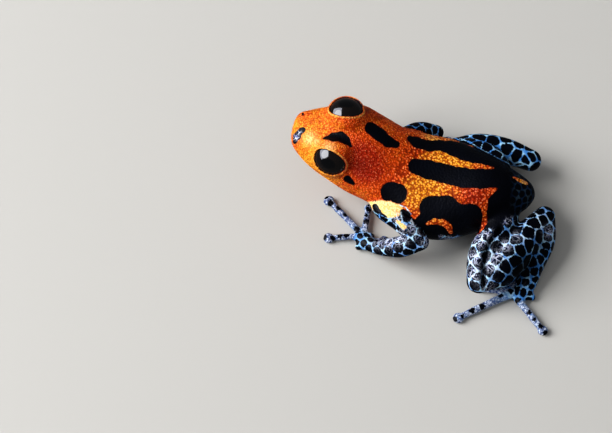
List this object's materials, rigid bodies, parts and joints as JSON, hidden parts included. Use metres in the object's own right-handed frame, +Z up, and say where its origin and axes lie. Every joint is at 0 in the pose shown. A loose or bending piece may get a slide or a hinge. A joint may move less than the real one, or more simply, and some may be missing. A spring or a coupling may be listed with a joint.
{
  "type": "poison dart frog",
  "caption": "Life-size poison dart frog sitting with folded hind legs and spread digits; orange-red back with black spots, black limbs with a pale blue net.",
  "frame": {"origin": "middle of the outline seen from above, on the floor that the belly, hands and feet rest on", "axes": "+Z up; -Y the way the frog faces; +X the frog's own left side"},
  "size_m": [0.015, 0.0216, 0.0078],
  "materials": {
    "orange_skin": "moist fine-grained skin, orange-red with glossy black spots",
    "netted_skin": "moist skin, black cells in a pale blue net",
    "eye_black": "wet, black and very glossy"
  },
  "bodies": {
    "root": {"head": "orange_skin", "torso": "orange_skin", "eye_left": "eye_black", "eye_right": "eye_black", "upper_arm_left": "netted_skin", "forearm_left": "netted_skin", "hand_left": "netted_skin", "upper_arm_right": "netted_skin", "forearm_right": "netted_skin", "hand_right": "netted_skin", "thigh_left": "netted_skin", "shank_left": "netted_skin", "ankle_left": "netted_skin", "foot_left": "netted_skin", "thigh_right": "netted_skin", "shank_right": "netted_skin", "ankle_right": "netted_skin", "foot_right": "netted_skin"}
  },
  "joints": []
}
